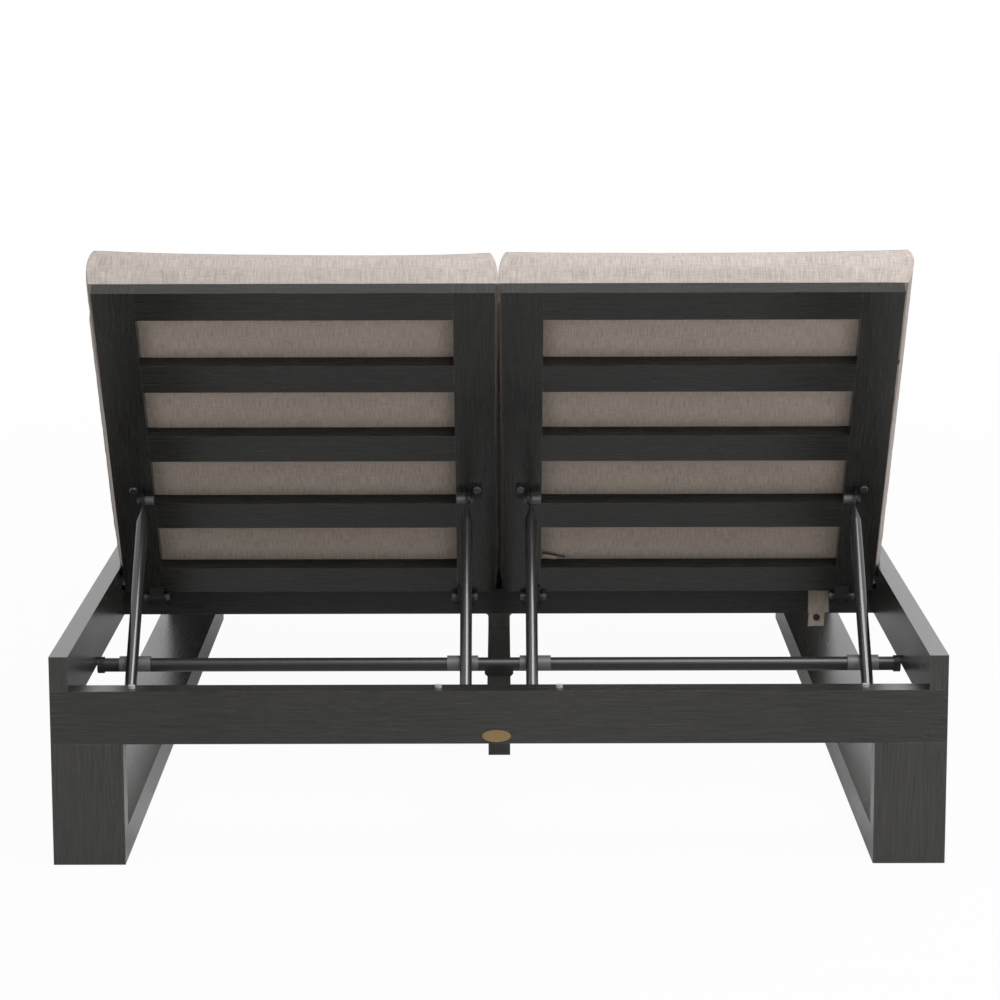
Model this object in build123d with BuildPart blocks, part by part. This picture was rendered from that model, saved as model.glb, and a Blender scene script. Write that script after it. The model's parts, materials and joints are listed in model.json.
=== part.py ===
from build123d import *
import os
from math import asin, atan2, cos, degrees, hypot, radians, sin, sqrt, tan

# Double chaise lounger seen from behind: X to the right, Y from the head end to the foot end, Z up.
# The origin is on the floor, under the middle of the base. Lengths are in millimetres.

# Base frame
overall_width = 1524.0
overall_length = 2000.0
tube_wall = 2.0
side_rail_thickness = 32.0
side_rail_height = 104.0
side_rail_top = 364.0
end_rail_height = 92.0
end_rail_drop = 60.0
end_rail_depth = 48.0
leg_width = 123.0
leg_depth = 48.0
ground_rail_height = 56.0

# Cross members and the beam under the middle
hinge_beam_place = 833.0
cross_beam_depth = 50.0
seat_beam_place = 1420.0
centre_beam_width = 42.0
centre_beam_height = 36.0
centre_leg_place = 742.0
spacer_height = 24.0
spacer_flare = 6.0

# Slatted frames of the seat and of the backs
frame_thickness = 25.0
frame_side_gap = 8.0
frame_gap = 12.0
stile_width = 74.5
slat_width = 64.4
back_length = 762.0
back_slat_count = 5
seat_slat_count = 7
seat_front_margin = 15.0
seat_rear_margin = 2.0
bumper_height = 5.0
bumper_diameter = 12.0
bumper_inset = 26.0
bumper_places_inset = 97.0

# Hinges of the backs
rest_angle = 55.5
hinge_set_out = 40.3
hinge_drop = 6.3
hinge_beyond_edge = 8.0
hinge_inset = 60.0
hinge_pin_diameter = 10.0
pin_running_clearance = 0.05
knuckle_radius = 8.0
lug_plate_thickness = 4.0
lug_plate_length = 15.0
side_play = 0.25
hinge_screw_step = 16.0
hinge_ear_thickness = 4.0
hinge_ear_gap = 28.0
hinge_plate_thickness = 3.0
hinge_plate_width = 36.0
hinge_plate_height = 40.0
hinge_arm_rise = 6.0
hinge_arm_root = 28.0
cap_diameter = 14.0
cap_length = 7.0
cap_wall = 2.0
screw_head_diameter = 8.0
screw_head_height = 2.2

# Struts that prop up the backs, and their brackets
strut_diameter = 21.8
strut_outer_inset = 57.0
strut_inner_inset = 54.0
strut_pivot_up = 264.0
strut_pivot_off = 16.0
strut_overrun = 75.0
strut_flat_thickness = 5.0
strut_flat_width = 20.0
strut_flat_length = 14.0
strut_taper_length = 34.0
strut_bolt_diameter = 8.0
notch_depth = 4.0
notch_step = 46.0
notch_count = 4
end_cap_length = 8.0
end_cap_flange = 1.2
bracket_plate_thickness = 3.0
bracket_plate_width = 25.0
bracket_plate_below = 10.0
bracket_plate_above = 26.0
bracket_ear_thickness = 4.0
bracket_ear_radius = 10.0
bolt_head_across_flats = 13.0
bolt_head_height = 5.5
cap_nut_diameter = 16.0
cap_nut_length = 16.0
cap_nut_end = 4.0
pan_head_diameter = 16.0
pan_head_height = 5.0
pan_head_up = 15.0
pan_head_out = 16.5

# Cross bar that the struts rest on
bar_diameter = 25.0
bar_place = 409.0
bar_above_beam = 20.6
saddle_width = 56.5
saddle_inset = 60.0
saddle_thickness = 3.5
saddle_clearance = 0.4
saddle_fit = 0.05
saddle_opening_tilt = 25.0
saddle_opening_share = 0.2
socket_wall = 2.5
socket_length = 12.0
socket_floor = 2.0
set_screw_diameter = 5.0
set_screw_stand = 1.2
cradle_width = 52.0
cradle_length = 22.0
cradle_top_drop = 6.0

# Oval plate on the rear rail
plate_length = 49.0
plate_height = 21.0
plate_thickness = 1.5
plate_rise = 13.6
plate_off_centre = 4.0
rivet_inset = 4.5
rivet_diameter = 3.0
rivet_stand = 0.6

# Cushions
cushion_seat_gap = 0.3
cushion_height = 70.0
cushion_crown = 8.0
cushion_middle_gap = 2.0
cushion_corner_draw = 12.0
cushion_top_overhang = 19.0
seat_cushion_overhang = 4.0
mitre_gap = 1.0

# Strap under the right cushion
strap_width = 41.0
strap_thickness = 1.6
strap_drop = 99.0
strap_side_gap = 1.5
strap_off_beam = 3.6
snap_diameter = 13.0
snap_height = 3.0
snap_up = 18.0
snap_off_centre = 4.0

# One overrun serves all cuts
overrun = 5.0

# Places worked out from the sizes above
rear = -overall_length / 2
front = overall_length / 2
half_width = overall_width / 2
rail_inner = half_width - side_rail_thickness
frame_width = rail_inner - frame_side_gap - frame_gap / 2
side_rail_bottom = side_rail_top - side_rail_height
end_rail_top = side_rail_top - end_rail_drop
end_rail_bottom = end_rail_top - end_rail_height
centre_beam_top = side_rail_bottom - spacer_height
frame_underside = end_rail_top + bumper_height
deck_top = frame_underside + frame_thickness
frame_outer = frame_gap / 2 + frame_width
hinge_beam_rear = rear + hinge_beam_place
seat_beam_rear = rear + seat_beam_place
pin_y = hinge_beam_rear - hinge_set_out
pin_z = frame_underside - hinge_drop
back_low_edge = pin_y - hinge_beyond_edge
back_high_edge = back_low_edge - back_length
bar_y = rear + bar_place
bar_height = centre_beam_top + bar_above_beam
hinge_line = Axis((0, pin_y, pin_z), (1, 0, 0))
sides = (("left", -1), ("right", 1))


def mid(low, high):
    """The middle between two corners."""
    return tuple((a + b) / 2 for a, b in zip(low, high))


def span(low, high):
    """The three sizes between two corners."""
    return [b - a for a, b in zip(low, high)]


def box_tube(low, high):
    """A closed box tube with one wall all round, from its lowest to its highest corner."""
    with BuildPart() as tube:
        with Locations(mid(low, high)):
            Box(*span(low, high))
            Box(*[size - 2 * tube_wall for size in span(low, high)], mode=Mode.SUBTRACT)
    return tube.part


def block(low, high):
    """A solid block from its lowest to its highest corner."""
    with BuildPart() as solid:
        with Locations(mid(low, high)):
            Box(*span(low, high))
    return solid.part


def rod(start, axis, diameter, length):
    """A round rod from a start point along an axis."""
    with BuildPart() as solid:
        with BuildSketch(Plane(origin=start, z_dir=axis)):
            Circle(diameter / 2)
        extrude(amount=length)
    return solid.part


def save(shape, label):
    """Labels a finished piece and writes it to its own file."""
    shape.label = label
    export_step(shape, f"parts/{label}.step")


def group(shapes):
    """Several separate solids of the same kind in one node."""
    with BuildPart() as node:
        for shape in shapes:
            add(shape)
    return node.part


def raised(shape):
    """Turns a piece that was drawn with its back lying flat up to the rest position."""
    return shape.rotate(hinge_line, -rest_angle)


def on_back(side, outer, inset):
    """The X of a place that lies inset from the outer or the inner edge of a back."""
    return side * (frame_outer - inset if outer else frame_gap / 2 + inset)


os.makedirs("parts", exist_ok=True)

# Base frame
side_outline = [
    (rear, end_rail_top),
    (rear, side_rail_top),
    (front, side_rail_top),
    (front, end_rail_top),
    (front - end_rail_depth, end_rail_top),
    (front - end_rail_depth, side_rail_bottom),
    (rear + end_rail_depth, side_rail_bottom),
    (rear + end_rail_depth, end_rail_top),
]
for name, side in sides:
    low_x = min(side * half_width, side * rail_inner)
    with BuildPart() as side_rail:
        with BuildSketch(Plane.YZ.offset(low_x)):
            with BuildLine():
                Polyline(*side_outline, close=True)
            make_face()
        extrude(amount=side_rail_thickness)
        with BuildSketch(Plane.YZ.offset(low_x + tube_wall)):
            with BuildLine():
                Polyline(*side_outline, close=True)
            make_face()
            offset(amount=-tube_wall, kind=Kind.INTERSECTION)
        extrude(amount=side_rail_thickness - 2 * tube_wall, mode=Mode.SUBTRACT)
    save(side_rail.part, f"{name}_side_rail")
    leg_low = min(side * half_width, side * (half_width - leg_width))
    leg_high = leg_low + leg_width
    for end, leg_y in (("rear", rear), ("front", front - leg_depth)):
        leg = box_tube((leg_low, leg_y, 0), (leg_high, leg_y + leg_depth, end_rail_bottom))
        save(leg, f"{name}_{end}_leg")
    ground_rail = box_tube(
        (leg_low, rear + leg_depth, 0), (leg_high, front - leg_depth, ground_rail_height)
    )
    save(ground_rail, f"{name}_ground_rail")
for end, rail_y in (("rear", rear), ("front", front - end_rail_depth)):
    end_rail = box_tube(
        (-half_width, rail_y, end_rail_bottom), (half_width, rail_y + end_rail_depth, end_rail_top)
    )
    save(end_rail, f"{end}_rail")

# Cross beams, centre beam and centre leg
for name, beam_y in (("hinge_beam", hinge_beam_rear), ("seat_beam", seat_beam_rear)):
    beam = box_tube(
        (-rail_inner, beam_y, side_rail_bottom), (rail_inner, beam_y + cross_beam_depth, frame_underside)
    )
    save(beam, name)
beam_half = centre_beam_width / 2
centre_beam_low = centre_beam_top - centre_beam_height
centre_beam = box_tube(
    (-beam_half, rear + end_rail_depth, centre_beam_low),
    (beam_half, front - end_rail_depth, centre_beam_top),
)
save(centre_beam, "centre_beam")
leg_rear = rear + centre_leg_place
centre_leg = box_tube(
    (-beam_half, leg_rear, 0), (beam_half, leg_rear + centre_beam_width, centre_beam_low)
)
save(centre_leg, "centre_leg")
flare_top = side_rail_bottom
flare_bottom = flare_top - spacer_flare
flare_out = beam_half + spacer_flare
arc_in = flare_out - spacer_flare * cos(radians(45))
arc_up = flare_bottom + spacer_flare * sin(radians(45))
beam_spacers = []
for beam_y in (hinge_beam_rear, seat_beam_rear):
    with BuildPart() as spacer:
        with BuildSketch(Plane(origin=(0, beam_y, 0), x_dir=(1, 0, 0), z_dir=(0, -1, 0))):
            with BuildLine():
                Line((-beam_half, centre_beam_top), (beam_half, centre_beam_top))
                Line((beam_half, centre_beam_top), (beam_half, flare_bottom))
                ThreePointArc((beam_half, flare_bottom), (arc_in, arc_up), (flare_out, flare_top))
                Line((flare_out, flare_top), (-flare_out, flare_top))
                ThreePointArc((-flare_out, flare_top), (-arc_in, arc_up), (-beam_half, flare_bottom))
                Line((-beam_half, flare_bottom), (-beam_half, centre_beam_top))
            make_face()
        extrude(amount=-cross_beam_depth)
    beam_spacers.append(spacer.part)
save(group(beam_spacers), "beam_spacers")

# Cross bar with its cradle, sockets, screws and saddles
bar_half = rail_inner - socket_floor
save(rod((-bar_half, bar_y, bar_height), (1, 0, 0), bar_diameter, 2 * bar_half), "support_bar")
cradle_half = cradle_width / 2
cradle_top = bar_height - cradle_top_drop
cradle_shoulder = centre_beam_top + cradle_half - beam_half
cradle_rear = bar_y - cradle_length / 2
with BuildPart() as bar_cradle:
    with BuildSketch(Plane(origin=(0, cradle_rear, 0), x_dir=(1, 0, 0), z_dir=(0, -1, 0))):
        with BuildLine():
            Polyline(
                (-beam_half, centre_beam_top), (beam_half, centre_beam_top), (cradle_half, cradle_shoulder),
                (cradle_half, cradle_top), (-cradle_half, cradle_top), (-cradle_half, cradle_shoulder),
                close=True,
            )
        make_face()
    extrude(amount=-cradle_length)
    with BuildSketch(Plane.YZ.offset(-cradle_half)):
        with Locations((bar_y, bar_height)):
            Circle(bar_diameter / 2)
    extrude(amount=cradle_width, mode=Mode.SUBTRACT)
save(bar_cradle.part, "bar_cradle")
screw_way = Vector(0, -1, 1).normalized()
socket_radius = bar_diameter / 2 + socket_wall
sockets = []
set_screws = []
for name, side in sides:
    with BuildPart() as socket:
        with BuildSketch(Plane(origin=(side * rail_inner, bar_y, bar_height), z_dir=(-side, 0, 0))):
            Circle(socket_radius)
        extrude(amount=socket_length)
        with BuildSketch(Plane(origin=(side * bar_half, bar_y, bar_height), z_dir=(-side, 0, 0))):
            Circle(bar_diameter / 2)
        extrude(amount=socket_length, mode=Mode.SUBTRACT)
        screw_x = side * (rail_inner - socket_length / 2 - socket_floor)
        with BuildSketch(Plane(origin=(screw_x, bar_y, bar_height), z_dir=screw_way)):
            Circle(set_screw_diameter / 2)
        extrude(amount=2 * socket_radius, mode=Mode.SUBTRACT)
    sockets.append(socket.part)
    screw_start = Vector(screw_x, bar_y, bar_height) + screw_way * (bar_diameter / 2 + saddle_fit)
    screw_length = socket_wall + set_screw_stand
    set_screws.append(rod(screw_start, screw_way, set_screw_diameter, screw_length))
save(group(sockets), "bar_sockets")
save(group(set_screws), "bar_set_screws")
saddle_radius = bar_diameter / 2 + saddle_thickness
opening_reach = saddle_radius * (saddle_opening_share + 1 / 2)
saddles = []
for side in (-1, 1):
    for outer in (True, False):
        saddle_x = on_back(side, outer, saddle_inset) - saddle_width / 2
        with BuildPart() as saddle:
            with BuildSketch(Plane.YZ.offset(saddle_x)):
                with Locations((bar_y, bar_height)):
                    Circle(saddle_radius)
                    Circle(bar_diameter / 2 + saddle_fit, mode=Mode.SUBTRACT)
                opening_y = bar_y + opening_reach * sin(radians(saddle_opening_tilt))
                opening_z = bar_height - opening_reach * cos(radians(saddle_opening_tilt))
                with Locations(Location((opening_y, opening_z, 0), (0, 0, saddle_opening_tilt))):
                    Rectangle(2 * saddle_radius, saddle_radius, mode=Mode.SUBTRACT)
            extrude(amount=saddle_width)
        saddles.append(saddle.part)
save(group(saddles), "bar_saddles")


# Slatted frames, drawn lying flat at the height of the deck
def frame_stiles(side, low_y, high_y):
    """The two long members of a slatted frame."""
    inner = side * frame_gap / 2
    outer = side * frame_outer
    stiles = []
    for edge, step in ((inner, side * stile_width), (outer, -side * stile_width)):
        low_x = min(edge, edge + step)
        stiles.append(
            box_tube((low_x, low_y, frame_underside), (low_x + stile_width, high_y, deck_top))
        )
    return group(stiles)


def frame_slats(side, low_y, high_y, count):
    """The cross members of a slatted frame, evenly spaced from end to end."""
    inner = side * (frame_gap / 2 + stile_width)
    outer = side * (frame_outer - stile_width)
    step = (high_y - low_y - slat_width) / (count - 1)
    slats = []
    for number in range(count):
        slat_y = low_y + number * step
        slat_start = (min(inner, outer), slat_y, frame_underside)
        slats.append(box_tube(slat_start, (max(inner, outer), slat_y + slat_width, deck_top)))
    return group(slats)


seat_low = hinge_beam_rear + seat_rear_margin
seat_high = front - seat_front_margin
for name, side in sides:
    save(frame_stiles(side, seat_low, seat_high), f"{name}_seat_stiles")
    save(frame_slats(side, seat_low, seat_high, seat_slat_count), f"{name}_seat_slats")
    save(raised(frame_stiles(side, back_high_edge, back_low_edge)), f"{name}_back_stiles")
    save(raised(frame_slats(side, back_high_edge, back_low_edge, back_slat_count)), f"{name}_back_slats")


# Bumpers under the backs' high ends and pads under the seat frames
def pads(pad_y, rest_height):
    """Four round pads, two for each frame."""
    made = []
    for side in (-1, 1):
        for outer in (True, False):
            pad_at = (on_back(side, outer, bumper_places_inset), pad_y, rest_height)
            made.append(rod(pad_at, (0, 0, 1), bumper_diameter, bumper_height))
    return group(made)


save(pads(rear + bumper_inset, end_rail_top), "back_bumpers")
save(pads(front - bumper_inset, end_rail_top), "seat_pads")

# Hinges: brackets, screws, pins and caps on the base, lugs on the backs
ear_outline = [
    (pin_y, pin_z - knuckle_radius),
    (pin_y, pin_z + hinge_arm_rise),
    (hinge_beam_rear - hinge_plate_thickness, pin_z + hinge_arm_rise),
    (hinge_beam_rear - hinge_plate_thickness, pin_z + hinge_arm_rise - hinge_arm_root),
]
lug_far = back_low_edge - lug_plate_length
lug_outline = [
    (pin_y, pin_z - knuckle_radius),
    (pin_y, pin_z + knuckle_radius),
    (back_low_edge, frame_underside),
    (lug_far, frame_underside),
    (lug_far, frame_underside - lug_plate_thickness),
]
pin_hole = hinge_pin_diameter / 2 + pin_running_clearance
hinge_half = hinge_ear_gap / 2 + hinge_ear_thickness
cap_hold = cap_length - cap_wall
brackets = []
bracket_screws = []
pins = []
caps = []
for side in (-1, 1):
    for outer in (True, False):
        hinge_x = on_back(side, outer, hinge_inset)
        plate_top = pin_z + hinge_arm_rise
        plate_rear = hinge_beam_rear - hinge_plate_thickness
        plate_half = hinge_plate_width / 2
        plate_start = (hinge_x - plate_half, plate_rear, plate_top - hinge_plate_height)
        with BuildPart() as bracket:
            add(block(plate_start, (hinge_x + plate_half, hinge_beam_rear, plate_top)))
            for ear_x in (hinge_x - hinge_half, hinge_x + hinge_ear_gap / 2):
                with BuildSketch(Plane.YZ.offset(ear_x)):
                    with BuildLine():
                        Polyline(*ear_outline, close=True)
                    make_face()
                    with Locations((pin_y, pin_z)):
                        Circle(knuckle_radius)
                        Circle(pin_hole, mode=Mode.SUBTRACT)
                extrude(amount=hinge_ear_thickness)
        brackets.append(bracket.part)
        for number in (1, 2):
            screw_at = (hinge_x, plate_rear, plate_top - number * hinge_screw_step)
            bracket_screws.append(rod(screw_at, (0, -1, 0), screw_head_diameter, screw_head_height))
        pin_half = hinge_half + cap_hold
        pins.append(rod((hinge_x - pin_half, pin_y, pin_z), (1, 0, 0), hinge_pin_diameter, 2 * pin_half))
        for way in (-1, 1):
            cap_plane = Plane(origin=(hinge_x + way * hinge_half, pin_y, pin_z), z_dir=(way, 0, 0))
            with BuildPart() as cap:
                with BuildSketch(cap_plane):
                    Circle(cap_diameter / 2)
                extrude(amount=cap_length)
                with BuildSketch(cap_plane):
                    Circle(pin_hole)
                extrude(amount=cap_hold, mode=Mode.SUBTRACT)
                fillet(cap.faces().sort_by(Axis.X)[0 if way < 0 else -1].edges(), radius=cap_wall / 2)
            caps.append(cap.part)
save(group(brackets), "hinge_brackets")
save(group(bracket_screws), "hinge_bracket_screws")
save(group(pins), "hinge_pins")
save(group(caps), "hinge_pin_caps")
for name, side in sides:
    lugs = []
    for outer in (True, False):
        lug_low = on_back(side, outer, hinge_inset) - hinge_ear_gap / 2 + side_play
        with BuildPart() as lug:
            with BuildSketch(Plane.YZ.offset(lug_low)):
                with BuildLine():
                    Polyline(*lug_outline, close=True)
                make_face()
                with Locations((pin_y, pin_z)):
                    Circle(knuckle_radius)
                    Circle(pin_hole, mode=Mode.SUBTRACT)
            extrude(amount=hinge_ear_gap - 2 * side_play)
        lugs.append(lug.part)
    save(raised(group(lugs)), f"{name}_hinge_lugs")

# Strut brackets on the backs, with their bolts and nylon cap nuts, drawn with the back lying flat
pivot_y = back_low_edge - strut_pivot_up
pivot_z = frame_underside - strut_pivot_off
bolt_hole = strut_bolt_diameter / 2 + pin_running_clearance
eye_half = strut_flat_thickness / 2
eye_side = eye_half + side_play
plate_low = frame_underside - bracket_plate_thickness
cap_nut_bore = cap_nut_length - cap_nut_end
for name, side in sides:
    strut_brackets = []
    strut_bolts = []
    cap_nuts = []
    pan_bolts = []
    for outer in (True, False):
        strut_x = on_back(side, outer, strut_outer_inset if outer else strut_inner_inset)
        edge_way = side if outer else -side
        ear_face = strut_x + edge_way * eye_side
        plate_end = ear_face + edge_way * bracket_plate_width
        head_face = ear_face + edge_way * bracket_ear_thickness
        nut_face = strut_x - edge_way * eye_side
        with BuildPart() as bracket:
            add(
                block(
                    (min(ear_face, plate_end), pivot_y - bracket_plate_above, plate_low),
                    (max(ear_face, plate_end), pivot_y + bracket_plate_below, frame_underside),
                )
            )
            with BuildSketch(Plane.YZ.offset(min(ear_face, head_face))):
                with Locations((pivot_y, (pivot_z + plate_low) / 2)):
                    Rectangle(2 * bracket_ear_radius, plate_low - pivot_z)
                with Locations((pivot_y, pivot_z)):
                    Circle(bracket_ear_radius)
                    Circle(bolt_hole, mode=Mode.SUBTRACT)
            extrude(amount=bracket_ear_thickness)
        strut_brackets.append(bracket.part)
        with BuildPart() as bolt:
            with BuildSketch(Plane(origin=(head_face, pivot_y, pivot_z), z_dir=(edge_way, 0, 0))):
                RegularPolygon(bolt_head_across_flats / 2, side_count=6, major_radius=False)
            extrude(amount=bolt_head_height)
            with BuildSketch(Plane(origin=(head_face, pivot_y, pivot_z), z_dir=(-edge_way, 0, 0))):
                Circle(strut_bolt_diameter / 2)
            extrude(amount=bracket_ear_thickness + 2 * eye_side + cap_nut_bore)
        strut_bolts.append(bolt.part)
        with BuildPart() as cap_nut:
            with BuildSketch(Plane(origin=(nut_face, pivot_y, pivot_z), z_dir=(-edge_way, 0, 0))):
                Circle(cap_nut_diameter / 2)
            extrude(amount=cap_nut_length)
            with BuildSketch(Plane(origin=(nut_face, pivot_y, pivot_z), z_dir=(-edge_way, 0, 0))):
                Circle(bolt_hole)
            extrude(amount=cap_nut_bore, mode=Mode.SUBTRACT)
        cap_nuts.append(cap_nut.part)
        with BuildPart() as pan_bolt:
            pan_at = (ear_face + edge_way * pan_head_out, pivot_y - pan_head_up, plate_low)
            with BuildSketch(Plane(origin=pan_at, z_dir=(0, 0, -1))):
                Circle(pan_head_diameter / 2)
            extrude(amount=pan_head_height)
            fillet(pan_bolt.faces().sort_by(Axis.Z)[0].edges(), radius=pan_head_height / 2)
        pan_bolts.append(pan_bolt.part)
    save(raised(group(strut_brackets)), f"{name}_strut_brackets")
    save(raised(group(strut_bolts)), f"{name}_strut_bolts")
    save(raised(group(cap_nuts)), f"{name}_strut_cap_nuts")
    save(raised(group(pan_bolts)), f"{name}_bracket_bolts")

# Struts, drawn pointing along -Y from their pivot, then set on the bar at rest
rest = radians(rest_angle)
out_y = pivot_y - pin_y
out_z = pivot_z - pin_z
pivot_rest_y = pin_y + out_y * cos(rest) + out_z * sin(rest)
pivot_rest_z = pin_z - out_y * sin(rest) + out_z * cos(rest)
notch_radius = saddle_radius + saddle_clearance
notch_off = notch_radius + strut_diameter / 2 - notch_depth
bar_reach = hypot(bar_y - pivot_rest_y, bar_height - pivot_rest_z)
notch_reach = sqrt(bar_reach**2 - notch_off**2)
strut_slope = degrees(
    atan2(pivot_rest_z - bar_height, pivot_rest_y - bar_y) - asin(notch_off / bar_reach)
)
strut_length = notch_reach + strut_overrun
round_start = strut_flat_length + strut_taper_length
print(f"strut pivot at rest y {pivot_rest_y:.3f} z {pivot_rest_z:.3f}")
print(f"strut slope {strut_slope:.3f}, length {strut_length:.2f}")
print(f"hinge pin y {pin_y:.3f} z {pin_z:.3f}")
for name, side in sides:
    for place, outer in (("outer", True), ("inner", False)):
        strut_x = on_back(side, outer, strut_outer_inset if outer else strut_inner_inset)
        with BuildPart() as strut:
            with BuildSketch(Plane.YZ.offset(-eye_half)):
                Circle(strut_flat_width / 2)
                with Locations((-strut_flat_length / 2, 0)):
                    Rectangle(strut_flat_length, strut_flat_width)
                Circle(bolt_hole, mode=Mode.SUBTRACT)
            extrude(amount=strut_flat_thickness)
            with BuildSketch(Plane(origin=(0, -strut_flat_length, 0), x_dir=(1, 0, 0), z_dir=(0, -1, 0))):
                Ellipse(eye_half, strut_flat_width / 2)
            with BuildSketch(Plane(origin=(0, -round_start, 0), x_dir=(1, 0, 0), z_dir=(0, -1, 0))):
                Circle(strut_diameter / 2)
            loft()
            with BuildSketch(Plane(origin=(0, -strut_length, 0), x_dir=(1, 0, 0), z_dir=(0, 1, 0))):
                Circle(strut_diameter / 2)
            extrude(amount=strut_length - round_start)
            with BuildSketch(Plane.YZ.offset(-strut_diameter)):
                for number in range(notch_count):
                    with Locations((-notch_reach + number * notch_step, -notch_off)):
                        Circle(notch_radius)
            extrude(amount=2 * strut_diameter, mode=Mode.SUBTRACT)
            with BuildSketch(Plane(origin=(0, -strut_length, 0), z_dir=(0, 1, 0))):
                Circle(strut_diameter / 4)
            extrude(amount=end_cap_length, mode=Mode.SUBTRACT)
        with BuildPart() as end_plug:
            with BuildSketch(Plane(origin=(0, -strut_length, 0), z_dir=(0, -1, 0))):
                Circle(strut_diameter / 2)
            extrude(amount=end_cap_flange)
            with BuildSketch(Plane(origin=(0, -strut_length, 0), z_dir=(0, 1, 0))):
                Circle(strut_diameter / 4)
            extrude(amount=end_cap_length - end_cap_flange)
        for shape, label in ((strut.part, "strut"), (end_plug.part, "strut_plug")):
            placed = shape.rotate(Axis.X, strut_slope)
            placed = placed.translate((strut_x, pivot_rest_y, pivot_rest_z))
            save(placed, f"{name}_{place}_{label}")

# Oval plate and its rivets on the rear rail
plate_centre_height = end_rail_bottom + plate_rise
plate_at = (-plate_off_centre, rear, plate_centre_height)
with BuildPart() as oval_plate:
    with BuildSketch(Plane(origin=plate_at, x_dir=(1, 0, 0), z_dir=(0, -1, 0))):
        Ellipse(plate_length / 2, plate_height / 2)
    extrude(amount=plate_thickness)
save(oval_plate.part, "oval_plate")
rivet_out = plate_length / 2 - rivet_inset
rivets = [
    rod(
        (-plate_off_centre + way * rivet_out, rear - plate_thickness, plate_centre_height),
        (0, -1, 0),
        rivet_diameter,
        rivet_stand,
    )
    for way in (-1, 1)
]
save(group(rivets), "plate_rivets")

# Cushions, each a loft of crowned sections that draw in at the free end, mitred where seat and back meet
# Shares at the free end: the way in as a share of the height, then the draw of the corners,
# the low side and the high side
end_shares = [
    (0.0, 1.0, 0.12, 0.72),
    (0.07, 0.72, 0.05, 0.87),
    (0.22, 0.42, 0.01, 0.96),
    (0.60, 0.12, 0.0, 0.99),
    (1.5, 0.0, 0.0, 1.0),
]
cushion_bottom = deck_top + cushion_seat_gap
cushion_bulge = (frame_gap - cushion_middle_gap) / 2


def cushion(side, free_y, mitred_y):
    """One cushion from its free end to past its mitre, drawn on the deck."""
    middle_x = side * (frame_gap / 2 + frame_width / 2)
    way = 1 if mitred_y > free_y else -1
    with BuildPart() as shape:
        for along, draw, low, high in end_shares + [(None, 0.0, 0.0, 1.0)]:
            section_y = mitred_y if along is None else free_y + way * along * cushion_height
            half = frame_width / 2 - draw * cushion_corner_draw
            low_z = low * cushion_height
            high_z = high * cushion_height
            crown = cushion_crown * (high - low)
            bulge = cushion_bulge * (high - low)
            plane = Plane(origin=(middle_x, section_y, cushion_bottom), x_dir=(1, 0, 0), z_dir=(0, -1, 0))
            with BuildSketch(plane):
                with BuildLine():
                    Line((-half, low_z), (half, low_z))
                    ThreePointArc((half, low_z), (half + bulge, (low_z + high_z) / 2), (half, high_z))
                    ThreePointArc((half, high_z), (0, high_z + crown), (-half, high_z))
                    ThreePointArc((-half, high_z), (-half - bulge, (low_z + high_z) / 2), (-half, low_z))
                make_face()
        loft(ruled=True)
    return shape.part


corner_out = back_low_edge - pin_y
corner_up = deck_top - pin_z
corner_y = pin_y + corner_out * cos(rest) + corner_up * sin(rest)
corner_z = pin_z - corner_out * sin(rest) + corner_up * cos(rest)
fold_y = corner_y - (deck_top - corner_z) / tan(rest)
mitre_tilt = radians(180 - rest_angle) / 2
mitre_normal = Vector(0, sin(mitre_tilt), -cos(mitre_tilt))
half_gap = mitre_normal * mitre_gap / 2
fold = Vector(0, fold_y, deck_top)
for name, side in sides:
    with BuildPart() as seat_cushion:
        add(cushion(side, seat_high + seat_cushion_overhang, fold_y - overrun))
        split(bisect_by=Plane(origin=fold + half_gap, z_dir=mitre_normal), keep=Keep.TOP)
    save(seat_cushion.part, f"{name}_seat_cushion")
    with BuildPart() as back_cushion:
        add(raised(cushion(side, back_high_edge - cushion_top_overhang, back_low_edge)))
        split(bisect_by=Plane(origin=fold - half_gap, z_dir=mitre_normal), keep=Keep.BOTTOM)
    save(back_cushion.part, f"{name}_back_cushion")

# Strap that hangs from the right seat cushion behind the hinge beam, with its snap
strap_inset = hinge_inset + hinge_plate_width / 2 + strap_side_gap + strap_width / 2
strap_from_middle = frame_outer - strap_inset
strap_low_end = deck_top - strap_drop
strap_y = hinge_beam_rear - strap_off_beam
strap_low = (strap_from_middle - strap_width / 2, strap_y - strap_thickness, strap_low_end)
strap_high = (strap_from_middle + strap_width / 2, strap_y, deck_top)
save(block(strap_low, strap_high), "cushion_strap")
snap_at = (strap_from_middle - snap_off_centre, strap_y - strap_thickness, strap_low_end + snap_up)
save(rod(snap_at, (0, -1, 0), snap_diameter, snap_height), "strap_snap")
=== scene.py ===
"""Looks of a double chaise lounger: brushed charcoal aluminium, nylon fittings and padded woven cushions.

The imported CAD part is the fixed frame. Each cushion is a sewn box of cloth that is blown up by simulation.
Pieces on a back are drawn with the back lying flat and then turned up to rest.
"""

import json
import math

import bpy
import numpy as np
from mathutils import Matrix, Vector


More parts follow.
